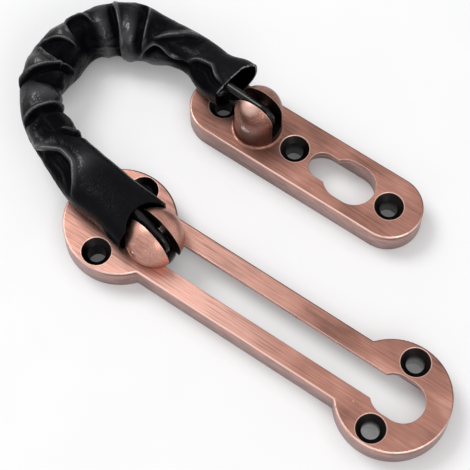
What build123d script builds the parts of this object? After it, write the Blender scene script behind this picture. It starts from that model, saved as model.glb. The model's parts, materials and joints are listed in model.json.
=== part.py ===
from build123d import *
import math
import os

# Door chain: a slotted track plate, an anchor plate with a slotted boss, and a chain in a leather sleeve.
# The origin is the centre of the track plate's screw pattern, on the plates' back plane.
# +X runs along the track to its keyhole end, +Y towards the anchor plate, +Z up from the backs.
# All sizes are in millimetres and degrees.

# Both plates
plate_thickness = 7.6
lip_thickness = 1.8
edge_radius = 0.5
screw_hole_diameter = 4.8
countersink_diameter = 8.0
countersink_angle = 90.0
slot_width = 7.8
keyhole_width = 11.8
keyhole_run = 2.7

# Track plate
track_screw_pitch_x = 84.4
track_screw_pitch_y = 21.0
track_end_diameter = 30.2
track_bar_width = 18.7
track_corner_radius = 0.8
slot_end_inset = 11.0

# Anchor plate, along its length from its first screw
anchor_width = 18.2
anchor_boss_offset = 11.2
anchor_middle_screw_offset = 23.0
anchor_slot_end_offset = 32.0
anchor_keyhole_offset = 39.0
anchor_last_screw_offset = 52.7
boss_diameter = 12.6
boss_height = 16.0
boss_fillet = 0.8
boss_pin_height = 8.6
boss_slot_width = 4.4

# Sliding button and its foot
ball_diameter = 15.7
ball_centre_height = 3.8
ball_slot_width = 4.0
ball_swivel = -12.0
button_pin_height = 4.9
button_end_play = 0.3
neck_clearance = 0.3
foot_diameter = 11.0
foot_thickness = 1.8
foot_clearance = 2.0
parked_foot_clearance = 0.5
rivet_diameter = 4.4
rivet_head_diameter = 6.6
rivet_head_height = 1.2

# Cross pins
pin_diameter = 2.4
pin_proud = 0.15
pin_fit = 0.05

# Running clearances
running_gap = 0.25
swivel_gap = 0.15
rivet_fit = 0.1

# Chain links
wire_diameter = 2.4
link_inner_length = 16.1
link_inner_width = 3.2
link_gap = 0.3
end_link_overreach = 3.0
link_lift = 0.15
link_turns = [5.0, -11.0, -34.0, -43.0, -47.0, -26.0, -39.0, 20.0]
joint_heights = [6.5, 6.7, 6.1, 4.5, 2.4, 2.2, 3.6, 6.2]

# Leather sleeve
leather_thickness = 0.7
sleeve_gap = 0.25
sleeve_headroom = 0.35
sleeve_start = 4.0
sleeve_boss_gap = 3.3
sleeve_half_widths = [7.8, 7.7, 6.1, 5.7, 6.7, 7.5, 6.2, 6.3, 6.7]
sleeve_offsets = [0.4, 1.5, 0.9, 0.0, 1.0, 2.2, 0.5, 0.0, 2.2]
sleeve_lift = [1.0, 1.0, 1.0, 1.0, 0.0, 0.0, 0.35, 1.0, 1.0]
sleeve_squareness = 2.4
sleeve_sides = 16
sections_per_joint = 4
gather_start = 1.6
gather_depth = 0.9
gather_share = 0.6
gather_twist = 2.4

screw_hole_radius = screw_hole_diameter / 2
countersink_radius = countersink_diameter / 2
countersink_depth = (countersink_radius - screw_hole_radius) / math.tan(math.radians(countersink_angle / 2))
track_end_x = track_screw_pitch_x / 2
slot_end_x = slot_end_inset - track_end_x
button_x = slot_end_x + button_end_play
ball_radius = ball_diameter / 2
boss_radius = boss_diameter / 2
pin_radius = pin_diameter / 2
wire_radius = wire_diameter / 2
link_half_width = link_inner_width / 2 + wire_diameter
foot_way_depth = plate_thickness - lip_thickness
button_pin_z = plate_thickness + button_pin_height
boss_pin_z = plate_thickness + boss_pin_height

# The bow of an end link stands this far past its pin, and swings in a circle of bow_swing about it.
bow_reach = end_link_overreach + wire_diameter
bow_swing = math.hypot(bow_reach - link_half_width, link_lift) + link_half_width


def chain_line():
    """Points where the chain's line meets the two pins and turns between links."""
    end_length = link_inner_length - end_link_overreach + wire_radius
    upright_length = link_inner_length + wire_diameter
    level_length = link_inner_length - wire_diameter - 2 * link_gap
    lengths = [end_length]
    for index in range(1, len(link_turns)):
        lengths.append(level_length if index % 2 else upright_length)
    lengths.append(end_length)
    heights = [button_pin_z + link_lift]
    heights += [plate_thickness + height for height in joint_heights]
    heights.append(boss_pin_z + link_lift)
    heading = 180.0 + ball_swivel
    points = [Vector(button_x, 0, heights[0])]
    for index, length in enumerate(lengths):
        rise = heights[index + 1] - heights[index]
        run = math.sqrt(length**2 - rise**2)
        direction = Vector(1, 0, 0).rotate(Axis.Z, heading)
        points.append(points[-1] + direction * run + Vector(0, 0, rise))
        if index < len(link_turns):
            heading += link_turns[index]
    return points


def drill_screws(plate, places):
    """Cut countersunk screw holes through a plate at the given points."""
    for x, y in places:
        plate -= Pos(x, y, plate_thickness / 2) * Cylinder(screw_hole_radius, plate_thickness)
        plate -= Pos(x, y, plate_thickness - countersink_depth / 2) * Cone(
            screw_hole_radius, countersink_radius, countersink_depth
        )
    return plate


def way(start_x, end_x, width, bottom, top):
    """A round-ended block along X, used to cut slots and the foot's way."""
    middle = (start_x + end_x) / 2
    outline = Pos(middle, 0) * SlotCenterToCenter(end_x - start_x, width)
    return Pos(0, 0, bottom) * extrude(outline, top - bottom)


def cut_keyhole(plate, slot_start, wide_start, clearance):
    """Cut a slot that opens into a wide keyhole, with the foot's way undercut behind its lips."""
    wide_end = wide_start + keyhole_run
    foot_way_width = foot_diameter + 2 * clearance
    plate -= way(slot_start, wide_end, slot_width, 0, plate_thickness)
    plate -= way(wide_start, wide_end, keyhole_width, 0, plate_thickness)
    plate -= way(slot_start, wide_end, foot_way_width, 0, foot_way_depth)
    return plate


def soften_top(plate):
    """Round the outer top edge of a plate."""
    top = plate.faces().sort_by(Axis.Z)[-1]
    return fillet(top.outer_wire().edges(), edge_radius)


def make_track_plate():
    ends = [Pos(x, 0) * Circle(track_end_diameter / 2) for x in (-track_end_x, track_end_x)]
    outline = Rectangle(2 * track_end_x, track_bar_width) + ends
    plate = extrude(outline, plate_thickness)
    plate = fillet(plate.edges().filter_by(Axis.Z), track_corner_radius)
    plate = soften_top(plate)
    plate = cut_keyhole(plate, slot_end_x, track_end_x, foot_clearance)
    half_y = track_screw_pitch_y / 2
    places = [(x, y) for x in (-track_end_x, track_end_x) for y in (-half_y, half_y)]
    return drill_screws(plate, places)


def make_anchor_plate(boss_point):
    middle = anchor_last_screw_offset / 2
    outline = Pos(middle, 0) * SlotCenterToCenter(anchor_last_screw_offset, anchor_width)
    plate = soften_top(extrude(outline, plate_thickness))
    base = Pos(anchor_boss_offset, 0, plate_thickness)
    dome_height = boss_height - boss_radius
    plate += base * Pos(0, 0, dome_height / 2) * Cylinder(boss_radius, dome_height)
    rounds = plate.edges().filter_by(GeomType.CIRCLE)
    boss_edges = rounds.filter_by(lambda edge: math.isclose(edge.radius, boss_radius))
    plate = fillet(boss_edges.sort_by(Axis.Z)[0], boss_fillet)
    plate += base * Pos(0, 0, dome_height) * Sphere(boss_radius)
    slot_floor = boss_pin_z - bow_swing - running_gap
    slot_depth = plate_thickness + boss_height - slot_floor
    slot_place = Pos(anchor_boss_offset, 0, slot_floor + slot_depth / 2)
    plate -= slot_place * Box(boss_diameter, boss_slot_width, slot_depth)
    pin_place = Pos(anchor_boss_offset, 0, boss_pin_z) * Rot(90, 0, 0)
    plate -= pin_place * Cylinder(pin_radius + pin_fit, boss_diameter)
    plate = cut_keyhole(plate, anchor_slot_end_offset, anchor_keyhole_offset, parked_foot_clearance)
    places = [(0, 0), (anchor_middle_screw_offset, 0), (anchor_last_screw_offset, 0)]
    plate = drill_screws(plate, places)
    return Pos(boss_point.X - anchor_boss_offset, boss_point.Y) * plate


def make_anchor_pin(boss_point):
    pin = Rot(90, 0, 0) * Cylinder(pin_radius, boss_diameter + 2 * pin_proud)
    pin &= Cylinder(boss_radius + pin_proud, pin_diameter)
    return Pos(boss_point.X, boss_point.Y, boss_pin_z) * pin


def foot_levels():
    """Top and bottom of the foot washer, which runs behind the plate's lips."""
    top = foot_way_depth - running_gap
    return top, top - foot_thickness


def make_button():
    """Slotted ball, the neck that runs in the track's slot, and the rivet that holds the foot."""
    foot_top, foot_bottom = foot_levels()
    ball_z = plate_thickness + ball_centre_height
    base_z = plate_thickness + running_gap
    ball = Pos(0, 0, ball_z) * Sphere(ball_radius)
    ball &= Pos(0, 0, base_z + ball_diameter) * Box(2 * ball_diameter, 2 * ball_diameter, 2 * ball_diameter)
    neck_bottom = foot_top + swivel_gap
    neck_radius = slot_width / 2 - neck_clearance
    ball += Pos(0, 0, (neck_bottom + base_z) / 2) * Cylinder(neck_radius, base_z - neck_bottom)
    head_top = foot_bottom - swivel_gap
    ball += Pos(0, 0, (head_top + neck_bottom) / 2) * Cylinder(rivet_diameter / 2, neck_bottom - head_top)
    ball += Pos(0, 0, head_top - rivet_head_height / 2) * Cone(
        rivet_diameter / 2, rivet_head_diameter / 2, rivet_head_height
    )
    slot_floor = button_pin_z - bow_swing - running_gap
    slot_depth = ball_z + ball_radius - slot_floor
    ball -= Pos(0, 0, slot_floor + slot_depth / 2) * Box(ball_diameter, ball_slot_width, slot_depth)
    ball -= Pos(0, 0, button_pin_z) * Rot(90, 0, 0) * Cylinder(pin_radius + pin_fit, ball_diameter)
    return Pos(button_x, 0) * Rot(0, 0, ball_swivel) * ball


def make_button_pin():
    pin = Pos(0, 0, button_pin_z) * Rot(90, 0, 0) * Cylinder(pin_radius, ball_diameter + 2 * pin_proud)
    pin &= Pos(0, 0, plate_thickness + ball_centre_height) * Sphere(ball_radius + pin_proud)
    return Pos(button_x, 0) * Rot(0, 0, ball_swivel) * pin


def make_foot_washer():
    foot_top, foot_bottom = foot_levels()
    washer = Cylinder(foot_diameter / 2, foot_thickness)
    washer -= Cylinder(rivet_diameter / 2 + rivet_fit, foot_thickness)
    return Pos(button_x, 0, (foot_top + foot_bottom) / 2) * washer


def make_link(start, end, index, last):
    """One wire link between two turning points; odd links stand upright and even ones lie level."""
    along = (end - start).normalized()
    across = Vector(0, 0, 1).cross(along).normalized()
    if index == 1:
        centre = end - along * (link_inner_length + wire_diameter) / 2
    elif index == last:
        centre = start + along * (link_inner_length + wire_diameter) / 2
    else:
        centre = (start + end) / 2
    normal = across if index % 2 else along.cross(across)
    wire_line = SlotCenterToCenter(link_inner_length - link_inner_width, link_inner_width + wire_diameter)
    path = wire_line.face().outer_wire()
    section = Plane(origin=path @ 0, z_dir=path % 0) * Circle(wire_radius)
    return Plane(origin=centre, x_dir=along, z_dir=normal) * sweep(section, path)


def sleeve_stations(points):
    """The sleeve's line: it touches each link at its middle and rounds each turn between."""
    first = points[0] + (points[1] - points[0]).normalized() * sleeve_start
    last = points[-1] + (points[-2] - points[-1]).normalized() * (boss_radius + sleeve_boss_gap)
    middles = [(a + b) / 2 for a, b in zip(points[1:-2], points[2:-1])]
    ends = [first] + middles + [last]
    stations = []
    for joint, turn in enumerate(points[1:-1]):
        for step in range(sections_per_joint):
            stations.append((joint + step / sections_per_joint, ends[joint], turn, ends[joint + 1]))
    stations.append((float(len(link_turns)), ends[-2], points[-2], ends[-1]))
    return stations


def between(values, place):
    """Value at a place along an evenly spaced list."""
    low = min(int(place), len(values) - 2)
    return values[low] + (values[low + 1] - values[low]) * (place - low)


def puff(place, angle):
    """How far the gathered leather stands out between its creases."""
    gathered = min(max(place - gather_start, 0.0), 1.0)
    swell = math.sin(2 * math.pi * place) ** 2
    uneven = gather_share + (1 - gather_share) * math.cos(2 * angle + gather_twist * place)
    return gather_depth * gathered * swell * uneven


def sleeve_section(station, inset):
    """Cross-section of the sleeve at a station, drawn in from its outside by inset."""
    place, before, turn, after = station
    part = place - min(int(place), len(link_turns) - 1)
    centre = before * (1 - part) ** 2 + turn * (2 * part * (1 - part)) + after * part**2
    along = (turn - before) * (1 - part) + (after - turn) * part
    low = (plate_thickness + sleeve_gap) * between(sleeve_lift, place)
    high = centre.Z + link_half_width + sleeve_headroom + leather_thickness
    half_height = (high - low) / 2 - inset
    half_width = between(sleeve_half_widths, place) - inset
    across = Vector(-along.Y, along.X, 0).normalized()
    middle = centre + across * between(sleeve_offsets, place)
    origin = Vector(middle.X, middle.Y, (low + high) / 2)
    corners = []
    for side in range(sleeve_sides):
        angle = 2 * math.pi * side / sleeve_sides
        flat = math.copysign(abs(math.cos(angle)) ** (2 / sleeve_squareness), math.cos(angle))
        tall = math.copysign(abs(math.sin(angle)) ** (2 / sleeve_squareness), math.sin(angle))
        swell = puff(place, angle)
        rise = max(tall, 0.0) * swell + tall * half_height
        corners.append(origin + across * (flat * (half_width + swell)) + Vector(0, 0, rise))
    return Wire.make_polygon(corners, close=True)


def make_sleeve(points):
    stations = sleeve_stations(points)
    outside = Solid.make_loft([sleeve_section(station, 0.0) for station in stations], ruled=True)
    inside = Solid.make_loft([sleeve_section(station, leather_thickness) for station in stations], ruled=True)
    mouth_radius = ball_radius + sleeve_gap
    mouth_height = 4 * ball_diameter
    mouth = Pos(button_x, 0) * Cylinder(mouth_radius, mouth_height)
    return Part(outside.wrapped) - Part(inside.wrapped) - mouth


points = chain_line()
boss_point = points[-1]
nodes = {
    "track_plate": make_track_plate(),
    "anchor_plate": make_anchor_plate(boss_point),
    "anchor_pin": make_anchor_pin(boss_point),
    "button": make_button(),
    "button_pin": make_button_pin(),
    "foot_washer": make_foot_washer(),
    "sleeve": make_sleeve(points),
}
link_count = len(points) - 1
for number in range(1, link_count + 1):
    nodes[f"link_{number:02d}"] = make_link(points[number - 1], points[number], number, link_count)

os.makedirs("parts", exist_ok=True)
for name, solid in nodes.items():
    export_step(solid, f"parts/{name}.step")
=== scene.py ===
"""Looks of the door chain: camera, light, finishes and the gathered leather sleeve."""
import json
import math

import bpy
import numpy as np
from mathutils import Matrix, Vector, noise
from mathutils.bvhtree import BVHTree


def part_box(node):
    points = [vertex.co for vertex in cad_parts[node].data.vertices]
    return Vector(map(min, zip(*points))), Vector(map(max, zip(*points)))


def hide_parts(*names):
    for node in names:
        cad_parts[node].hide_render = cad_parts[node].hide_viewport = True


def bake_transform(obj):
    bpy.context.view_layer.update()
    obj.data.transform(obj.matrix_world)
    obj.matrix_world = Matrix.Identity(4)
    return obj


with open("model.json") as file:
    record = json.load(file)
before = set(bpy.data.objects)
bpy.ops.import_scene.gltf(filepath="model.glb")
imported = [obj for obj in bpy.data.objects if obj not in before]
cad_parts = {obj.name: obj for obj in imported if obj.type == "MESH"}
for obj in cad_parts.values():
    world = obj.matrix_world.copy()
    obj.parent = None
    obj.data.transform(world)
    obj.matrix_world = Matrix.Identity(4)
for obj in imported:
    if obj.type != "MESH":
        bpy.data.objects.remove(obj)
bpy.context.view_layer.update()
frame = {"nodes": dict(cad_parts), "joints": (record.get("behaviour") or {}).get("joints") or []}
MM = 0.001


def mm(*sizes):
    """Sizes given in millimetres, as metres."""
    return tuple(size * MM for size in sizes)


# Camera of the photograph, in the part's frame
CAMERA_PLACE = Vector((86.154, -134.108, 420.296)) * MM
CAMERA_AIM = Vector((-0.22520, 0.32822, -0.91736))
CAMERA_FOCAL_PIXELS = 1730.05
CAMERA_NEAREST = 10 * MM
IMAGE_PIXELS = 470
SENSOR = 36.0

# Lamps: place, point aimed at and diameter in metres, then power in watts
LAMPS = {
    "key": ((-0.54, 0.08, 0.70), (-0.02, 0.02, 0.0), 0.42, 4.1),
    "fill": ((0.62, -0.30, 0.55), (0.0, 0.02, 0.0), 0.6, 2.2),
}

# Strength of the world as light, and as seen
WORLD_LIGHT = 0.50
WORLD_SEEN = 1.0

# Floor: half its side in metres, how far it is lifted towards white, and the gap in which the lift fades
FLOOR_REACH = 3.0
FLOOR_LIFT = 0.287
FLOOR_GAP = 6.0 * MM

# Links of the chain, and the one in its middle, which is on the root body
LINKS = 9
MIDDLE_LINK = 5

# Leather sleeve. A place is a number along the chain: 0 in the first link, 1 in the second and so on.
# The reaches, in mm at every half place, run from the chain's line to the outside and inside of the bend.
SLEEVE_OUTER = [9.1, 8.5, 9.3, 8.2, 6.6, 6.0, 5.0, 6.3, 8.2, 7.3, 9.3, 9.9, 6.3, 5.5, 6.3, 9.9, 10.0]
SLEEVE_INNER = [7.8, 6.1, 6.2, 6.0, 5.0, 5.1, 5.4, 6.2, 5.8, 3.8, 3.8, 5.9, 4.7, 4.8, 5.4, 5.4, 4.4]

# At every place: the underside's height as a share of what clears the plates, and the section's squareness
SLEEVE_LIFT = [1.0, 1.0, 1.0, 1.0, 0.0, 0.0, 0.35, 1.05, 1.2]
SLEEVE_SQUARENESS = [3.0, 2.8, 2.3, 2.3, 2.3, 2.3, 2.4, 2.6, 3.0]

# How far the values along the chain are eased, in places
PLACE_EASE = 0.2

# Where the sleeve's line starts and stops, from the pins in the ball and the boss, its rise above
# the chain's line, and its gap to the ball and the plates
SLEEVE_START = 4.0 * MM
SLEEVE_BOSS_GAP = 9.6 * MM
SLEEVE_RISE = 5.05 * MM
SLEEVE_GAP = 0.25 * MM

# Thickness of the leather, its gap to the links, and how far off a link is looked for
LEATHER = 0.6 * MM
LINK_GAP = 0.1 * MM
LINK_SEARCH = 4 * MM

# Rows of points from joint to joint, and columns round the sleeve
ROWS_PER_JOINT = 56
COLUMNS = 176

# How closely the ball end follows the ball over its top: 0 stands off like a cylinder, 1 follows the ball
BALL_MOUTH_HUG = 0.6

# How far the boss end runs on, or is cut back below zero, in places, at angles round the sleeve
# (0 is the outside of the bend, 90 the top, 180 the inside)
BOSS_MOUTH_ANGLES = [0, 38, 72, 110, 150, 200, 270, 330, 360]
BOSS_MOUTH_CUT = [0.08, 0.0, -0.2, -0.16, -0.16, -0.1, 0.0, 0.06, 0.08]

# Angle up to which the pale cut edge shows at the boss end; the rest of the edge is black
BARE_EDGE_ANGLE = 150

# Folds: a line of (place, angle), then in mm the depth of its valley, the valley's half-width and
# the height of the lip that stands over it on the line's left, seen from outside
FOLDS = [
    ([(2.10, 4), (2.01, 18), (1.86, 50), (1.73, 72), (1.48, 76), (1.25, 54), (1.12, 18)], 1.0, 1.1, 1.0),
    ([(2.42, 14), (2.46, 46), (2.50, 74), (2.51, 98), (2.50, 138), (2.47, 175), (2.46, 200)], 1.6, 0.9, 0.9),
    ([(2.04, 100), (1.96, 118), (1.86, 140), (1.84, 180)], 1.1, 0.8, 0.6),
    ([(3.10, 10), (3.23, 44), (3.43, 86), (3.73, 126), (3.86, 170)], 1.4, 0.8, 1.0),
    ([(3.84, 56), (3.96, 70), (4.09, 94), (4.16, 130)], 0.9, 0.7, 0.8),
    ([(3.76, 140), (3.79, 110), (3.80, 82), (3.87, 60)], 0.7, 0.7, 0.6),
    ([(4.30, 104), (4.33, 72), (4.45, 52), (4.58, 66), (4.66, 104)], 0.9, 0.8, 0.9),
    ([(5.04, 24), (5.06, 70), (5.18, 122), (5.25, 172), (5.26, 205)], 1.2, 0.9, 0.8),
    ([(5.58, 36), (5.61, 68), (5.64, 110), (5.66, 176)], 1.2, 1.1, 0.5),
    (
        [(5.72, 184), (5.84, 156), (5.94, 141), (6.06, 146), (6.24, 160), (6.41, 162), (6.76, 150)],
        1.4,
        0.8,
        1.0,
    ),
    ([(5.84, 142), (6.16, 104), (6.39, 84), (6.68, 68)], 0.6, 1.5, 0.6),
    ([(6.66, 160), (6.95, 116), (7.21, 102), (7.48, 116), (7.84, 122)], 1.1, 0.9, 0.8),
]

# A fold's profile, in half-widths of its valley: how steep the valley is under the lip and on its
# open side, where the lip stands, and how wide the lip and its crest are
VALLEY_STEEP = 3.4
VALLEY_OPEN = 0.6
LIP_OFFSET = 1.0
LIP_WIDTH = 0.68
CREST_WIDTH = 0.24

# How far a fold acts round its line and off the surface, in half-widths, and how fast it ends
FOLD_REACH = 6
FOLD_HEIGHT = 5
FOLD_PAST_END = 0.5

# A fold fades in over one part in so many of its line, and out again over as much
FOLD_FADE = 5

# Steps from corner to corner of a fold's line, and steps over which a corner is rounded off
FOLD_STEPS = 24
CORNER_EASE = 13

# Folds begin at this height above the floor and are full after this rise
FOLD_START = 1.0 * MM
FOLD_FULL = 3.0 * MM

# Puffs and dents: place and angle of the middle, rise in mm, half-length in places, half-width in degrees
PUFFS = [
    (1.55, 26, -1.7, 0.28, 26),
    (1.34, 96, 0.6, 0.22, 26),
    (2.18, 104, -1.0, 0.15, 46),
    (2.12, 36, 0.8, 0.22, 18),
    (2.18, 160, 1.0, 0.18, 34),
    (1.98, 54, 0.5, 0.08, 22),
    (2.84, 92, 1.0, 0.22, 46),
    (2.82, 165, 0.7, 0.18, 34),
    (3.26, 118, -1.6, 0.10, 40),
    (3.60, 72, 0.9, 0.12, 40),
    (3.92, 106, -1.8, 0.09, 32),
    (4.18, 74, 0.8, 0.10, 36),
    (4.48, 116, -2.2, 0.14, 46),
    (4.86, 126, 0.9, 0.13, 50),
    (4.92, 190, 1.0, 0.16, 30),
    (5.42, 128, 1.1, 0.15, 44),
    (5.46, 186, 1.1, 0.13, 28),
    (5.85, 100, -0.4, 0.18, 30),
    (5.96, 184, 1.5, 0.22, 18),
    (6.62, 164, -0.8, 0.2, 20),
    (7.22, 148, -1.1, 0.32, 24),
]

# Wrinkles: rise in mm at every place, and how far apart they are
WRINKLE_RISE = [0.03, 0.05, 0.14, 0.16, 0.16, 0.16, 0.10, 0.06, 0.04]
WRINKLE_SPAN = 2.6 * MM

# Plates, screw holes and slots, as in the part
PLATE_TOP = 7.6 * MM
BORE_RADIUS = 2.4 * MM
SINK_RADIUS = 4.0 * MM
BOSS_SLOT_WIDTH = 4.4 * MM
BALL_SLOT_WIDTH = 4.0 * MM
BALL_SWIVEL = math.radians(-12)

# Screw holes, each with the share of its lower bore painted near white, a painted highlight of the light
# seen through it:
# at points of the track plate, and at distances along the anchor plate from its boss
TRACK_HOLE_X, TRACK_HOLE_Y = mm(42.2, 10.5)
TRACK_HOLES = [
    ((-TRACK_HOLE_X, -TRACK_HOLE_Y), 0.0),
    ((-TRACK_HOLE_X, TRACK_HOLE_Y), 0.0),
    ((TRACK_HOLE_X, -TRACK_HOLE_Y), 1.0),
    ((TRACK_HOLE_X, TRACK_HOLE_Y), 0.7),
]
ANCHOR_HOLES = [(-11.2 * MM, 0.0), (11.8 * MM, 0.2), (41.5 * MM, 0.3)]

# Finishes, with painted light and shade, as linear colours
COPPER_BRIGHT = (0.62, 0.34, 0.272)
COPPER_MIDDLE = (0.37, 0.18, 0.139)
COPPER_DARK = (0.14, 0.068, 0.053)
COPPER_EDGE = (0.88, 0.60, 0.52)
# Painted sheen: a lamp's reflection on the track's top
COPPER_PAINTED_SHEEN = (0.62, 0.36, 0.30)
# Painted shade on the boss's body
COPPER_PAINTED_SHADE = (0.05, 0.024, 0.02)
COPPER_SIDE = (0.53, 0.295, 0.25)
COPPER_SIDE_LOW = (0.38, 0.28, 0.275)
COPPER_SIDE_DARK = (0.32, 0.205, 0.185)
COPPER_BLACK = (0.014, 0.011, 0.011)
# Painted highlight of the light seen through a bore
BORE_PAINTED_LIGHT = (0.90, 0.895, 0.89)
LEATHER_BLACK = (0.003, 0.003, 0.0042)
# Dark grey: wear and painted highlight where the leather stands out; also the dark of the cut edge
LEATHER_DARK_GREY = (0.024, 0.0235, 0.027)
# Painted highlight on the leather's crests
LEATHER_CREST_HIGHLIGHT = (0.075, 0.074, 0.078)
LEATHER_CUT = (0.36, 0.35, 0.35)
WIRE_BLACK = (0.004, 0.004, 0.0045)
WIRE_WORN = (0.012, 0.011, 0.011)
PIN_BRIGHT = (0.72, 0.62, 0.56)
PIN_DARK = (0.25, 0.17, 0.14)
# Steel of the foot washer, painted dark as the shade under the ball
STEEL_SHADED_PALE = (0.16, 0.15, 0.145)
STEEL_SHADED_DARK = (0.05, 0.048, 0.045)
FLOOR_COLOUR = (0.65, 0.65, 0.66)
FLOOR_PALE = (0.665, 0.665, 0.67)

# Grain of the finishes, per metre along, across and up
BRUSH_FINE = (110, 5200, 5200)
BRUSH_BROAD = (30, 1900, 1900)
COPPER_PATCHES = (60, 110, 110)
COPPER_SPECKS = (420, 900, 900)
SIDE_CAST = (260, 260, 700)
LEATHER_SOFT = (420, 420, 420)
LEATHER_FIBRES = (1500, 1500, 1500)
LEATHER_GRAIN = 1700
FLOOR_FAINT = (40, 40, 40)
NOISE_ROUGHNESS = 0.55

# Depth of the relief in each finish
BRUSH_DEPTH = 0.04 * MM
GRAIN_DEPTH = 0.08 * MM
FIBRE_DEPTH = 0.1 * MM
METAL_DEPTH = 0.03 * MM

# Copper: the side whose edges get a painted highlight while the others get painted shade, the way the boss's
# painted highlight faces, and the width of a worn and lit edge
EDGE_HIGHLIGHT_SIDE = (0.30, -0.95, 0.0)
BOSS_HIGHLIGHT_FACING = (-0.14, -0.45, 0.88)
EDGE_WEAR_AND_LIGHT_WIDTH = 0.3 * MM

# Copper: how far up a plate's rounded rim faces, as a band, and how much brighter the ball is
RIM_SLOPE = (0.10, 0.3, 0.95, 0.995)
BALL_POLISH = 0.12

# Copper: painted sheen on the track, standing in for a lamp's reflection, along it (where it begins, is
# brightest and has dulled) and across it
PAINTED_SHEEN_ALONG = mm(25, -12, -58)
PAINTED_SHEEN_ACROSS = mm(9, -9)

# Copper: the rubbed rim of a screw hole and the lowest black of its countersink; how far the black of a
# slot goes past its walls and down the boss, and the heights between which it thins; and the width in
# which a colour ends
RIM_RADIUS = 4.2 * MM
SINK_FOOT = 5.9 * MM
SLOT_SPARE = 0.02 * MM
BOSS_SLOT_FOOT = PLATE_TOP + 0.5 * MM
SLOT_FADE = mm(14, 20)
PAINT_END = 0.1 * MM

# Copper: heights at which a finish, or a painted light or shade, is absent and at which it is full; a band
# of four is full between its middle two
# Heights of the painted highlight in a bore
BORE_LIGHT_RISE = mm(5.4, 1.8)
SIDE_TOP = mm(7.75, 7.5)
SIDE_PALE = mm(2.0, 5.5)
# Painted shade line under the top edge of sides facing away from the key lamp
SIDE_SHADE_LINE = mm(5.8, 6.4, 6.8, 7.0)
RIM_BAND = mm(6.9, 7.1, 7.58, 7.605)
HANDLED_RISE = mm(8.0, 8.6)
# Painted shade on the boss's body, as a band
BOSS_BODY_SHADE = mm(7.8, 9.5, 13, 17)
# Painted highlight on the boss's shoulder
BOSS_HIGHLIGHT_RISE = mm(12, 16)
BOSS_EDGE_RISE = mm(8.6, 9.2)

# Copper: distances from the boss at which the painted shade round it and the worn edges are absent and at
# which they are full
# Painted shade on the plate round the boss
PLATE_SHADE_ROUND_BOSS = mm(27, 4)
BOSS_EDGE_FOOT = mm(7.2, 7.8)


def joint_place(name):
    """Where a joint of the record stands."""
    found = [joint for joint in frame["joints"] if joint["name"] == name]
    return np.array(found[0]["pos_m"])


def chain_points():
    """The chain's line: the button's pin, the eight turns between links, the boss's pin."""
    numbers = [number for number in range(1, LINKS + 1) if number != MIDDLE_LINK]
    turns = [joint_place(f"link_{number:02d}_turn") for number in numbers]
    return np.array([joint_place("button_swing")] + turns + [joint_place("anchor_swing")])


POINTS = chain_points()
BUTTON_LOW, BUTTON_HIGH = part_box("button")
BALL_RADIUS = (BUTTON_HIGH.x - BUTTON_LOW.x) / 2
BALL_CENTRE = np.array([*(BUTTON_LOW + BUTTON_HIGH)[:2], 2 * (BUTTON_HIGH.z - BALL_RADIUS)]) / 2


def sleeve_stations():
    """Where the sleeve's line begins and ends, and the middle of each link between."""
    first = POINTS[1] - POINTS[0]
    last = POINTS[-2] - POINTS[-1]
    start = POINTS[0] + first / np.linalg.norm(first) * SLEEVE_START
    stop = POINTS[-1] + last / np.linalg.norm(last) * SLEEVE_BOSS_GAP
    middles = (POINTS[1:-2] + POINTS[2:-1]) / 2
    return np.vstack([start, middles, stop])


def smooth_between(values, places):
    """Values at even steps along the chain, eased between."""
    steps = np.linspace(0, LINKS - 1, len(values))
    fine = np.linspace(-1, LINKS, 1001)
    coarse = fine[::10]
    weights = np.exp(-(((fine[:, None] - coarse[None]) / PLACE_EASE) ** 2))
    smooth = (weights @ np.interp(coarse, steps, values)) / weights.sum(axis=1)
    return np.interp(places, fine, smooth)


def sleeve_points(places, angles):
    """Points of the plain sleeve at arrays of places and angles of one shape."""
    stations = sleeve_stations()
    joint = np.clip(places.astype(int), 0, LINKS - 2)
    part = (places - joint)[..., None]
    before, turn, after = stations[joint], POINTS[joint + 1], stations[joint + 1]
    centre = before * (1 - part) ** 2 + turn * (2 * part * (1 - part)) + after * part**2
    along = (turn - before) * (1 - part) + (after - turn) * part
    across = np.stack([-along[..., 1], along[..., 0], np.zeros_like(places)], axis=-1)
    across /= np.linalg.norm(across, axis=-1)[..., None]
    outer = smooth_between(SLEEVE_OUTER, places) * MM
    inner = smooth_between(SLEEVE_INNER, places) * MM
    low = (PLATE_TOP + SLEEVE_GAP) * np.interp(places, np.arange(LINKS), SLEEVE_LIFT)
    high = centre[..., 2] + SLEEVE_RISE
    power = 2 / smooth_between(SLEEVE_SQUARENESS, places)
    flat = np.sign(np.cos(angles)) * np.abs(np.cos(angles)) ** power
    tall = np.sign(np.sin(angles)) * np.abs(np.sin(angles)) ** power
    points = centre + across * ((outer - inner) / 2 + (outer + inner) / 2 * flat)[..., None]
    points[..., 2] = (low + high) / 2 + (high - low) / 2 * tall
    return points


def unit(vectors):
    """Vectors brought to length one."""
    return vectors / np.maximum(np.linalg.norm(vectors, axis=-1), 1e-12)[..., None]


def grid_normals(grid):
    """Outward normals of a grid that closes round its columns."""
    down = np.gradient(grid, axis=0)
    turn = np.roll(grid, -1, axis=1) - np.roll(grid, 1, axis=1)
    return unit(np.cross(turn, down))


def ball_mouth(angles):
    """Place at which each column begins, clear of the ball."""
    tries = np.linspace(0, 1, 201)
    places, turned = np.meshgrid(tries, angles, indexing="ij")
    points = sleeve_points(places, turned)
    away = (points - BALL_CENTRE) * (1, 1, BALL_MOUTH_HUG)
    clear = np.linalg.norm(away, axis=2) > BALL_RADIUS + SLEEVE_GAP
    return tries[np.argmax(clear, axis=0)]


def boss_mouth(angles):
    """Place at which each column ends."""
    return LINKS - 1 + np.interp(np.degrees(angles), BOSS_MOUTH_ANGLES, BOSS_MOUTH_CUT)


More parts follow.
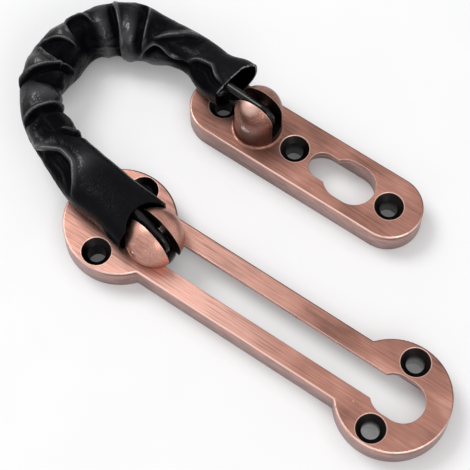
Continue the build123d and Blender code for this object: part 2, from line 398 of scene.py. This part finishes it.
def sleeve_grid():
    """Place and angle of every point of the sleeve: rows along the chain, columns round it."""
    rows = np.linspace(0, LINKS - 1, (LINKS - 1) * ROWS_PER_JOINT + 1)
    angles = np.linspace(0, 2 * math.pi, COLUMNS, endpoint=False)
    start, stop = ball_mouth(angles), boss_mouth(angles)
    places, turned = np.meshgrid(rows, angles, indexing="ij")
    first, last = places < 1, places > LINKS - 2
    places = np.where(first, start + places * (1 - start), places)
    places = np.where(last, LINKS - 2 + (places - LINKS + 2) * (stop - LINKS + 2), places)
    return places, turned


def eased(values):
    """Values along a line with its corners rounded off."""
    window = np.hanning(2 * CORNER_EASE + 1)
    head = 2 * values[0] - values[CORNER_EASE:0:-1]
    tail = 2 * values[-1] - values[-2 : -CORNER_EASE - 2 : -1]
    padded = np.concatenate([head, values, tail])
    return np.convolve(padded, window / window.sum(), mode="valid")


def fold_line(line):
    """Points, outward normals and directions along a fold, on the plain sleeve."""
    corners = np.array(line, float)
    order = np.arange(len(line))
    steps = np.linspace(0, len(line) - 1, FOLD_STEPS * (len(line) - 1) + 1)
    places = eased(np.interp(steps, order, corners[:, 0]))
    angles = np.radians(eased(np.interp(steps, order, corners[:, 1])))
    points = sleeve_points(places, angles)
    small = 1e-3
    further = np.minimum(places + small, LINKS - 1)
    ahead = sleeve_points(further, angles) - sleeve_points(places - small, angles)
    turned = sleeve_points(places, angles + small) - sleeve_points(places, angles - small)
    return points, unit(np.cross(turned, ahead)), unit(np.gradient(points, axis=0))


def fold_rise(grid, line, depth, width, lip):
    """How far a fold moves each point of the grid outwards, in mm, and where its lip's crest runs."""
    points, normals, ways = fold_line(line)
    flat = grid.reshape(-1, 3)
    rise, crest = np.zeros(len(flat)), np.zeros(len(flat))
    reach = np.ptp(points, axis=0).max() + FOLD_REACH * width * MM
    near = np.nonzero(np.linalg.norm(flat - points.mean(axis=0), axis=1) < reach)[0]
    gaps = np.linalg.norm(flat[near, None, :] - points[None], axis=2)
    nearest = gaps.argmin(axis=1)
    away = flat[near] - points[nearest]
    left = np.cross(normals[nearest], ways[nearest])
    side = (away * left).sum(axis=1) / (width * MM)
    past = (away * ways[nearest]).sum(axis=1) / (width * MM)
    height = np.abs((away * normals[nearest]).sum(axis=1)) / (width * MM)
    valley = -depth * np.exp(-(side**2) * np.where(side > 0, VALLEY_STEEP, VALLEY_OPEN))
    ridge = lip * np.exp(-(((side - LIP_OFFSET) / LIP_WIDTH) ** 2))
    share = nearest / (len(points) - 1)
    taper = np.clip(np.minimum(share, 1 - share) * FOLD_FADE, 0, 1)
    taper *= np.exp(-(past**2) * FOLD_PAST_END) * np.exp(-((height / FOLD_HEIGHT) ** 2))
    rise[near] = (valley + ridge) * taper
    crest[near] = np.exp(-(((side - LIP_OFFSET) / CREST_WIDTH) ** 2)) * taper
    return rise.reshape(grid.shape[:2]), crest.reshape(grid.shape[:2])


def puff_rise(places, angles):
    """How far the puffs and dents move each point outwards, in mm."""
    rise = np.zeros_like(places)
    for place, angle, height, length, width in PUFFS:
        turn = (np.degrees(angles) - angle + 180) % 360 - 180
        rise += height * np.exp(-(((places - place) / length) ** 2) - (turn / width) ** 2)
    return rise


def wrinkle_rise(grid, places):
    """Small uneven wrinkles, in mm: few on the smooth ends, more where the sleeve is gathered."""
    smoothness, step, octaves = 0.9, 2.1, 3
    flat = grid.reshape(-1, 3) / WRINKLE_SPAN
    rise = [noise.fractal(Vector(point), smoothness, step, octaves) for point in flat]
    return np.array(rise).reshape(grid.shape[:2]) * smooth_between(WRINKLE_RISE, places)


def clear_of_links(grid, normals):
    """The grid moved outwards where the leather would run into a link."""
    corners, faces = [], []
    for number in range(1, LINKS + 1):
        mesh = frame["nodes"][f"link_{number:02d}"].data
        faces += [[len(corners) + corner for corner in face.vertices] for face in mesh.polygons]
        corners += [vertex.co for vertex in mesh.vertices]
    links = BVHTree.FromPolygons(corners, faces)
    room = LEATHER + LINK_GAP
    moved = grid.copy()
    for row, column in np.ndindex(grid.shape[:2]):
        point = Vector(grid[row, column])
        nearest, facing, _, away = links.find_nearest(point, LINK_SEARCH)
        if nearest is None:
            continue
        gap = math.copysign(away, (point - nearest).dot(facing))
        if gap < room:
            moved[row, column] += normals[row, column] * (room - gap)
    return moved


def folded_sleeve():
    """The outside of the sleeve as a grid of points, with the rise of its folds and their crests."""
    places, angles = sleeve_grid()
    grid = sleeve_points(places, angles)
    normals = grid_normals(grid)
    rise = puff_rise(places, angles) + wrinkle_rise(grid, places)
    crest = np.zeros_like(rise)
    for line, depth, width, lip in FOLDS:
        moved, top = fold_rise(grid, line, depth, width, lip)
        rise += moved
        crest = np.maximum(crest, top)
    upper = np.clip((grid[..., 2] - FOLD_START) / FOLD_FULL, 0, 1)
    folded = clear_of_links(grid + normals * (rise * upper * MM)[..., None], normals)
    return folded, rise * upper, crest * upper


def wall_faces(count):
    """Corners of the faces of one stretch: the outside, the inside and the two ends."""
    outside = np.arange(count * COLUMNS).reshape(count, COLUMNS)
    inside = outside + count * COLUMNS
    outer_next, inner_next = np.roll(outside, -1, axis=1), np.roll(inside, -1, axis=1)
    skin = np.stack([outside[:-1], outer_next[:-1], outer_next[1:], outside[1:]], axis=-1)
    lining = np.stack([inside[:-1], inside[1:], inner_next[1:], inner_next[:-1]], axis=-1)
    head = np.stack([outside[0], inside[0], inner_next[0], outer_next[0]], axis=-1)
    tail = np.stack([outside[-1], outer_next[-1], inner_next[-1], inside[-1]], axis=-1)
    return skin.reshape(-1, 4), lining.reshape(-1, 4), head, tail


def sleeve_piece(name, outer, inner, normals, marks):
    """A stretch of the sleeve, a closed wall with marks for its finish, and its number of wall faces."""
    verts = np.concatenate([outer.reshape(-1, 3), inner.reshape(-1, 3)])
    skin, lining, head, tail = wall_faces(len(outer))
    out = normals.reshape(-1, 3)
    point_normals = np.concatenate([out, -out])
    ends = np.concatenate([head, tail])
    edge = unit(np.cross(verts[ends[:, 1]] - verts[ends[:, 0]], verts[ends[:, 3]] - verts[ends[:, 0]]))
    walls = np.concatenate([skin, lining])
    loop_normals = np.concatenate([point_normals[walls].reshape(-1, 3), np.repeat(edge, 4, axis=0)])
    faces = np.concatenate([walls, ends])
    mesh = bpy.data.meshes.new(name)
    mesh.from_pydata(verts.tolist(), [], faces.tolist())
    mesh.polygons.foreach_set("use_smooth", [True] * len(faces))
    mesh.normals_split_custom_set(loop_normals.tolist())
    for key, values in marks.items():
        mark = mesh.attributes.new(key, "FLOAT", "POINT")
        mark.data.foreach_set("value", np.tile(values.ravel(), 2))
    piece = bpy.data.objects.new(name, mesh)
    bpy.context.scene.collection.objects.link(piece)
    return piece, len(walls)


def show_cut_edge(piece, walls):
    """Give the end of the last stretch the colour of cut leather, as far round as it shows."""
    first = walls + COLUMNS
    last = first + round(COLUMNS * BARE_EDGE_ANGLE / 360)
    for face in piece.data.polygons[first:last]:
        face.material_index = 1


def make_sleeve(leather, cut_edge):
    """The sleeve in stretches, each spanning the turn between two neighbouring links."""
    outer, rise, crest = folded_sleeve()
    normals = grid_normals(outer)
    inner = outer - normals * LEATHER
    for joint in range(LINKS - 1):
        name = f"sleeve_{joint + 1:02d}"
        rows = slice(joint * ROWS_PER_JOINT, (joint + 1) * ROWS_PER_JOINT + 1)
        marks = {"rise": rise[rows], "crest": crest[rows]}
        piece, walls = sleeve_piece(name, outer[rows], inner[rows], normals[rows], marks)
        piece.data.materials.append(leather)
        piece.data.materials.append(cut_edge)
        if joint == LINKS - 2:
            show_cut_edge(piece, walls)
        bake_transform(piece)
        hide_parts("sleeve")


def add(tree, kind, inputs=None, **settings):
    """A shader node with its settings, and its inputs as values or as sockets to link."""
    made = tree.nodes.new(kind)
    for key, value in settings.items():
        setattr(made, key, value)
    for key, value in (inputs or {}).items():
        if isinstance(value, bpy.types.NodeSocket):
            tree.links.new(value, made.inputs[key])
        else:
            made.inputs[key].default_value = value
    return made


def new_material(name):
    """A material, its node tree and its shader."""
    material = bpy.data.materials.new(name)
    material.use_nodes = True
    return material, material.node_tree, material.node_tree.nodes["Principled BSDF"]


def position(tree):
    """A point in the object's own coordinates."""
    return add(tree, "ShaderNodeTexCoord").outputs["Object"]


def own_normal(tree):
    """A surface's normal in the object's own coordinates."""
    return add(tree, "ShaderNodeTexCoord").outputs["Normal"]


def along_axis(tree, vector, axis):
    """One coordinate of a vector."""
    return add(tree, "ShaderNodeSeparateXYZ", {0: vector}).outputs[axis]


def height_of(tree):
    """Height of a point in the object's own coordinates."""
    return along_axis(tree, position(tree), "Z")


def stretched_noise(tree, scale, detail):
    """Noise over the object's own coordinates, with its own scale per metre along X, Y and Z."""
    mapped = add(tree, "ShaderNodeMapping", {"Vector": position(tree), "Scale": scale})
    inputs = {"Vector": mapped.outputs[0], "Scale": 1.0, "Detail": detail, "Roughness": NOISE_ROUGHNESS}
    return add(tree, "ShaderNodeTexNoise", inputs).outputs["Fac"]


def ramp(tree, value, low, high, to_low=0.0, to_high=1.0):
    """A value between low and high, brought smoothly to a new range."""
    inputs = {"Value": value, "From Min": low, "From Max": high, "To Min": to_low, "To Max": to_high}
    return add(tree, "ShaderNodeMapRange", inputs, interpolation_type="SMOOTHSTEP").outputs["Result"]


def maths(tree, operation, first, second):
    """Two values brought together by an operation."""
    return add(tree, "ShaderNodeMath", {0: first, 1: second}, operation=operation).outputs[0]


def times(tree, first, *others):
    """The product of values."""
    for other in others:
        first = maths(tree, "MULTIPLY", first, other)
    return first


def larger(tree, first, second):
    """The larger of two values."""
    return maths(tree, "MAXIMUM", first, second)


def blended(tree, first, second, share):
    """Two values added up, with the second's share of the whole."""
    return maths(tree, "ADD", times(tree, first, 1 - share), times(tree, second, share))


def band(tree, value, limits):
    """One between the two middle limits, falling to none at the outer ones."""
    start, full, still_full, end = limits
    return times(tree, ramp(tree, value, start, full), ramp(tree, value, end, still_full))


def vector_maths(tree, operation, first, second):
    """A shader node for two vectors."""
    return add(tree, "ShaderNodeVectorMath", {0: first, 1: second}, operation=operation).outputs


def facing(tree, vector, way):
    """How far a vector points along a way."""
    return vector_maths(tree, "DOT_PRODUCT", vector, way)["Value"]


def mix(tree, share, first, second):
    """A colour between two, each a colour or a socket."""
    inputs = {0: share}
    for key, value in ((6, first), (7, second)):
        inputs[key] = value if isinstance(value, bpy.types.NodeSocket) else (*value, 1)
    return add(tree, "ShaderNodeMix", inputs, data_type="RGBA").outputs[2]


def bump(tree, height, distance):
    """A normal with small relief."""
    return add(tree, "ShaderNodeBump", {"Height": height, "Distance": distance}).outputs["Normal"]


def edge_wear_and_light(tree, radius, low, high):
    """One at the edges, where the finish is rubbed off and where edges get painted light, and none on the
    faces; and the edge's normal.
    """
    rounded = add(tree, "ShaderNodeBevel", {"Radius": radius}, samples=6).outputs[0]
    plain = add(tree, "ShaderNodeNewGeometry").outputs["Normal"]
    settings = {"vector_type": "NORMAL", "convert_from": "WORLD", "convert_to": "OBJECT"}
    own = add(tree, "ShaderNodeVectorTransform", {0: rounded}, **settings).outputs[0]
    return ramp(tree, facing(tree, rounded, plain), high, low), own


def upward(tree):
    """How far a surface faces up or down, from none to one."""
    return maths(tree, "ABSOLUTE", along_axis(tree, own_normal(tree), "Z"), 0.0)


def rounded_rim(tree):
    """One on the rounded rim of a plate's top."""
    level = band(tree, height_of(tree), RIM_BAND)
    return times(tree, level, band(tree, upward(tree), RIM_SLOPE))


def distance_from(tree, centre):
    """Distance from an upright line through a point."""
    flat = vector_maths(tree, "MULTIPLY", position(tree), (1, 1, 0))[0]
    return vector_maths(tree, "DISTANCE", flat, (*centre, 0))["Value"]


def slot_inside(tree, centre, heading, width, foot):
    """One between the walls of a slot through a centre, above its foot, and less towards its top."""
    away = vector_maths(tree, "SUBTRACT", position(tree), (*centre, 0))[0]
    across = (-math.sin(heading), math.cos(heading), 0)
    off = maths(tree, "ABSOLUTE", facing(tree, away, across), 0.0)
    reach = width / 2 + SLOT_SPARE
    height = height_of(tree)
    above = ramp(tree, height, foot - PAINT_END, foot)
    fade = ramp(tree, height, *SLOT_FADE, 1.0, 0.6)
    return times(tree, ramp(tree, off, reach + PAINT_END, reach), above, fade)


def hole_colour(tree, centre, bore_light, colour):
    """The colour round a screw hole: a rubbed rim, a black countersink and a bore partly painted near white
    as a painted highlight.
    """
    away = distance_from(tree, centre)
    height = height_of(tree)
    above = ramp(tree, height, SINK_FOOT - PAINT_END, SINK_FOOT)
    rim = times(tree, above, ramp(tree, away, RIM_RADIUS, RIM_RADIUS - 2 * PAINT_END, 0.0, 0.55))
    sink = times(tree, above, ramp(tree, away, SINK_RADIUS, SINK_RADIUS - 2 * PAINT_END))
    bore = ramp(tree, away, BORE_RADIUS + PAINT_END, BORE_RADIUS)
    # Painted highlight in the lower bore, standing in for the light seen through it
    lit_bore = times(tree, bore, ramp(tree, height, *BORE_LIGHT_RISE, 0.0, bore_light))
    colour = mix(tree, rim, colour, COPPER_EDGE)
    colour = mix(tree, larger(tree, bore, sink), colour, COPPER_BLACK)
    return mix(tree, lit_bore, colour, BORE_PAINTED_LIGHT)


def painted_sheen_colour(tree, fine, colour):
    """The colour of the track's top with a painted sheen, a lamp's reflection, most in one stretch and on
    the near bar.
    """
    bare_end, bright_end, dull_end = PAINTED_SHEEN_ALONG
    along = along_axis(tree, position(tree), "X")
    rising = ramp(tree, along, bare_end, bright_end)
    dulling = ramp(tree, along, dull_end, bright_end, 0.3, 1.0)
    across = ramp(tree, along_axis(tree, position(tree), "Y"), *PAINTED_SHEEN_ACROSS, 0.5, 0.95)
    streaks = ramp(tree, fine, 0.34, 0.6, 0.4, 1.0)
    return mix(tree, times(tree, rising, dulling, across, streaks), colour, COPPER_PAINTED_SHEEN)


def side_colour(tree, colour):
    """The colour with a plate's cast sides: mottled, duller below, with a painted shade line under the top
    edge of sides facing away from the key lamp.
    """
    height = height_of(tree)
    side = times(tree, ramp(tree, upward(tree), 0.75, 0.35), ramp(tree, height, *SIDE_TOP))
    cast = ramp(tree, stretched_noise(tree, SIDE_CAST, 4.0), 0.28, 0.64)
    flank = mix(tree, ramp(tree, height, *SIDE_PALE), COPPER_SIDE_LOW, COPPER_SIDE)
    colour = mix(tree, side, colour, mix(tree, cast, COPPER_SIDE_DARK, flank))
    # Painted shade under the top edge of sides facing away from the key lamp
    facing_from_key = ramp(tree, along_axis(tree, own_normal(tree), "X"), 0.0, 0.6, 0.0, 0.75)
    line = times(tree, side, band(tree, height, SIDE_SHADE_LINE), facing_from_key)
    return mix(tree, line, colour, COPPER_DARK)


def boss_colour(tree, boss, fine, colour):
    """The colour with painted shade on the plate round the boss and on the boss's body, and a painted
    highlight on its shoulder.
    """
    height = height_of(tree)
    # Painted shade on the plate round the boss, streaked
    painted_plate_shade = ramp(tree, distance_from(tree, boss), *PLATE_SHADE_ROUND_BOSS, 0.0, 0.8)
    streaks = ramp(tree, fine, 0.35, 0.65, 1.0, 0.45)
    colour = mix(tree, times(tree, painted_plate_shade, streaks), colour, COPPER_DARK)
    # Painted shade on the boss's body
    colour = mix(tree, times(tree, band(tree, height, BOSS_BODY_SHADE), 0.6), colour, COPPER_PAINTED_SHADE)
    # Painted highlight on the boss's shoulder, by the way its surface faces
    facing_highlight = ramp(tree, facing(tree, own_normal(tree), BOSS_HIGHLIGHT_FACING), 0.86, 0.99)
    painted_highlight = times(tree, facing_highlight, ramp(tree, height, *BOSS_HIGHLIGHT_RISE, 0.0, 0.6))
    return mix(tree, painted_highlight, colour, COPPER_EDGE)


def edge_colour(tree, boss, broad, colour):
    """The colour with rubbed edges, none at the boss's foot: pale on the button and boss, where hands reach,
    and elsewhere a painted highlight on edges facing the near side and painted shade on the others.
    """
    height = height_of(tree)
    edge, edge_normal = edge_wear_and_light(tree, EDGE_WEAR_AND_LIGHT_WIDTH, 0.90, 0.985)
    if boss is not None:
        off_foot = ramp(tree, distance_from(tree, boss), *BOSS_EDGE_FOOT)
        edge = times(tree, edge, larger(tree, off_foot, ramp(tree, height, *BOSS_EDGE_RISE)))
    # Painted highlight on edges facing the near side, painted shade on the rest
    lit_edges = ramp(tree, facing(tree, edge_normal, EDGE_HIGHLIGHT_SIDE), -0.25, 0.45)
    handled_and_lit = larger(tree, lit_edges, ramp(tree, height, *HANDLED_RISE))
    uneven = ramp(tree, broad, 0.30, 0.60, 0.5, 1.0)
    wear_and_light = times(tree, larger(tree, edge, rounded_rim(tree)), uneven)
    return mix(tree, wear_and_light, colour, mix(tree, handled_and_lit, COPPER_DARK, COPPER_EDGE))


def copper_material(name, holes, slot, boss=None, painted_sheen=False, polish=0.0):
    """Brushed antique copper: bright lines and worn edges over brown, cast sides, black holes and slots,
    with painted sheen, highlights and shade.
    """
    material, tree, shader = new_material(name)
    fine = stretched_noise(tree, BRUSH_FINE, 2.0)
    broad = stretched_noise(tree, BRUSH_BROAD, 2.0)
    brush = blended(tree, fine, broad, 0.18)
    tone = blended(tree, brush, stretched_noise(tree, COPPER_PATCHES, 3.0), 0.55)
    colour = mix(tree, ramp(tree, tone, 0.31 - polish, 0.57 - polish), COPPER_DARK, COPPER_MIDDLE)
    colour = mix(tree, ramp(tree, tone, 0.53 - polish, 0.73 - polish), colour, COPPER_BRIGHT)
    # Painted sheen on the track's top, standing in for a lamp's reflection
    if painted_sheen:
        colour = painted_sheen_colour(tree, fine, colour)
    colour = side_colour(tree, colour)
    # Painted shade round the boss and on its body, and a painted highlight on its shoulder
    if boss is not None:
        colour = boss_colour(tree, boss, fine, colour)
    specks = ramp(tree, stretched_noise(tree, COPPER_SPECKS, 3.0), 0.72, 0.80, 0.0, 0.8)
    colour = mix(tree, specks, colour, COPPER_BRIGHT)
    # Worn edges, with a painted highlight on the near side and painted shade on the rest
    colour = edge_colour(tree, boss, broad, colour)
    for centre, bore_light in holes:
        colour = hole_colour(tree, centre, bore_light, colour)
    if slot is not None:
        colour = mix(tree, slot_inside(tree, *slot), colour, COPPER_BLACK)
    tree.links.new(colour, shader.inputs["Base Color"])
    tree.links.new(ramp(tree, brush, 0.3, 0.7, 0.46, 0.30), shader.inputs["Roughness"])
    shader.inputs["Metallic"].default_value = 1.0
    tree.links.new(bump(tree, brush, BRUSH_DEPTH), shader.inputs["Normal"])
    return material


def leather_material():
    """Black leather: fine grain, glossier and a little worn where it stands out, painted there in dark grey
    as a highlight, with a paler painted highlight on the crests.
    """
    material, tree, shader = new_material("black_leather")
    inputs = {"Vector": position(tree), "Scale": LEATHER_GRAIN}
    grain = add(tree, "ShaderNodeTexVoronoi", inputs).outputs["Distance"]
    soft = stretched_noise(tree, LEATHER_SOFT, 3.0)
    rise = add(tree, "ShaderNodeAttribute", attribute_name="rise").outputs["Fac"]
    crest = add(tree, "ShaderNodeAttribute", attribute_name="crest").outputs["Fac"]
    # Painted highlight, partly wear, where the leather stands out, and a paler painted highlight on the
    # crests
    wear_and_light = times(tree, ramp(tree, rise, 0.2, 1.4), ramp(tree, grain, 0.05, 0.5, 0.3, 1.0))
    painted_highlight = times(tree, ramp(tree, crest, 0.2, 0.9), ramp(tree, soft, 0.30, 0.60, 0.2, 1.0))
    colour = mix(tree, wear_and_light, LEATHER_BLACK, LEATHER_DARK_GREY)
    colour = mix(tree, painted_highlight, colour, LEATHER_CREST_HIGHLIGHT)
    tree.links.new(colour, shader.inputs["Base Color"])
    tree.links.new(ramp(tree, soft, 0.3, 0.7, 0.22, 0.36), shader.inputs["Roughness"])
    tree.links.new(ramp(tree, rise, -0.3, 1.5, 0.012, 0.60), shader.inputs["Specular IOR Level"])
    tree.links.new(bump(tree, blended(tree, grain, soft, 0.4), GRAIN_DEPTH), shader.inputs["Normal"])
    return material


def cut_edge_material():
    """The raw cut edge of the leather, paler than its face."""
    material, tree, shader = new_material("leather_cut")
    fibres = stretched_noise(tree, LEATHER_FIBRES, 2.0)
    colour = mix(tree, ramp(tree, fibres, 0.35, 0.65), LEATHER_DARK_GREY, LEATHER_CUT)
    tree.links.new(colour, shader.inputs["Base Color"])
    shader.inputs["Roughness"].default_value = 0.7
    tree.links.new(bump(tree, fibres, FIBRE_DEPTH), shader.inputs["Normal"])
    return material


def metal_material(name, dark, bright, grain, metallic, roughness, specular=0.5):
    """A worn metal or coated wire, mottled between two colours and two roughnesses."""
    material, tree, shader = new_material(name)
    tone = stretched_noise(tree, (grain, grain, grain), 3.0)
    tree.links.new(mix(tree, ramp(tree, tone, 0.40, 0.68), dark, bright), shader.inputs["Base Color"])
    tree.links.new(ramp(tree, tone, 0.35, 0.65, *roughness), shader.inputs["Roughness"])
    shader.inputs["Metallic"].default_value = metallic
    shader.inputs["Specular IOR Level"].default_value = specular
    tree.links.new(bump(tree, tone, METAL_DEPTH), shader.inputs["Normal"])
    return material


def dress(node, material):
    """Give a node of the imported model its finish."""
    mesh = frame["nodes"][node].data
    mesh.materials.clear()
    mesh.materials.append(material)


def dress_plates():
    """Antique copper on the two plates and the button."""
    boss = POINTS[-1][:2]
    anchor_holes = [(boss + (along, 0.0), bore_light) for along, bore_light in ANCHOR_HOLES]
    boss_slot = (boss, 0.0, BOSS_SLOT_WIDTH, BOSS_SLOT_FOOT)
    ball_slot = (BALL_CENTRE[:2], BALL_SWIVEL, BALL_SLOT_WIDTH, PLATE_TOP)
    dress("track_plate", copper_material("track_copper", TRACK_HOLES, None, painted_sheen=True))
    dress("anchor_plate", copper_material("anchor_copper", anchor_holes, boss_slot, boss=boss))
    dress("button", copper_material("button_copper", [], ball_slot, polish=BALL_POLISH))


def dress_chain():
    """Bright pins, a steel foot painted dark as shade, and black wire."""
    pin = metal_material(
        "pin_metal", PIN_DARK, PIN_BRIGHT, grain=700, metallic=1.0, roughness=(0.25, 0.4)
    )
    # The washer's steel is painted dark, as the shade under the ball
    washer = metal_material(
        "washer_steel", STEEL_SHADED_DARK, STEEL_SHADED_PALE, grain=500, metallic=1.0, roughness=(0.3, 0.5)
    )
    wire = metal_material(
        "black_wire", WIRE_BLACK, WIRE_WORN, grain=600, metallic=0.0, roughness=(0.12, 0.24), specular=0.22
    )
    dress("anchor_pin", pin)
    dress("button_pin", pin)
    dress("foot_washer", washer)
    for number in range(1, LINKS + 1):
        dress(f"link_{number:02d}", wire)


def aim_at(thing, place, way):
    """Put a camera or a lamp at a place, looking along a way, and add it to the scene."""
    thing.location = place
    thing.rotation_mode = "QUATERNION"
    thing.rotation_quaternion = way.to_track_quat("-Z", "Y")
    bpy.context.scene.collection.objects.link(thing)


def make_camera():
    """The photograph's camera."""
    data = bpy.data.cameras.new("camera")
    data.sensor_width = SENSOR
    data.lens = SENSOR * CAMERA_FOCAL_PIXELS / IMAGE_PIXELS
    data.clip_start = CAMERA_NEAREST
    camera = bpy.data.objects.new("camera", data)
    aim_at(camera, CAMERA_PLACE, CAMERA_AIM)
    bpy.context.scene.camera = camera


def make_lamp(name, place, aim, size, power):
    """A soft round lamp."""
    data = bpy.data.lights.new(name, "AREA")
    data.shape = "DISK"
    data.size = size
    data.energy = power
    aim_at(bpy.data.objects.new(name, data), place, Vector(aim) - Vector(place))


def seen_ray(tree):
    """One for rays from the camera and for what gloss or glass shows."""
    path = add(tree, "ShaderNodeLightPath").outputs
    either = larger(tree, path["Is Camera Ray"], path["Is Glossy Ray"])
    return larger(tree, either, path["Is Transmission Ray"])


def make_floor():
    """A pale floor that looks nearly white where it is open and keeps the shadows."""
    mesh = bpy.data.meshes.new("floor")
    corners = [(x * FLOOR_REACH, y * FLOOR_REACH, 0) for x, y in ((-1, -1), (1, -1), (1, 1), (-1, 1))]
    mesh.from_pydata(corners, [], [(0, 1, 2, 3)])
    floor = bpy.data.objects.new("floor", mesh)
    material, tree, shader = new_material("floor")
    faint = stretched_noise(tree, FLOOR_FAINT, 2.0)
    pale = mix(tree, ramp(tree, faint, 0.3, 0.7), FLOOR_COLOUR, FLOOR_PALE)
    tree.links.new(pale, shader.inputs["Base Color"])
    shader.inputs["Roughness"].default_value = 0.9
    shader.inputs["Specular IOR Level"].default_value = 0.1
    shader.inputs["Emission Color"].default_value = (1, 1, 1, 1)
    open_sky = add(tree, "ShaderNodeAmbientOcclusion", {"Distance": FLOOR_GAP}, samples=8).outputs["AO"]
    lift = times(tree, open_sky, ramp(tree, seen_ray(tree), 0.0, 1.0, 0.0, FLOOR_LIFT))
    tree.links.new(lift, shader.inputs["Emission Strength"])
    mesh.materials.append(material)
    bpy.context.scene.collection.objects.link(floor)


def make_world():
    """A white world, weaker as light than as seen."""
    world = bpy.data.worlds.new("world")
    world.use_nodes = True
    tree = world.node_tree
    sky = tree.nodes["Background"]
    sky.inputs["Color"].default_value = (1, 1, 1, 1)
    tree.links.new(ramp(tree, seen_ray(tree), 0.0, 1.0, WORLD_LIGHT, WORLD_SEEN), sky.inputs["Strength"])
    bpy.context.scene.world = world


dress_plates()
dress_chain()
make_sleeve(leather_material(), cut_edge_material())
make_camera()
make_floor()
make_world()
for lamp_name, lamp in LAMPS.items():
    make_lamp(lamp_name, *lamp)
bpy.context.scene.view_settings.view_transform = "Standard"
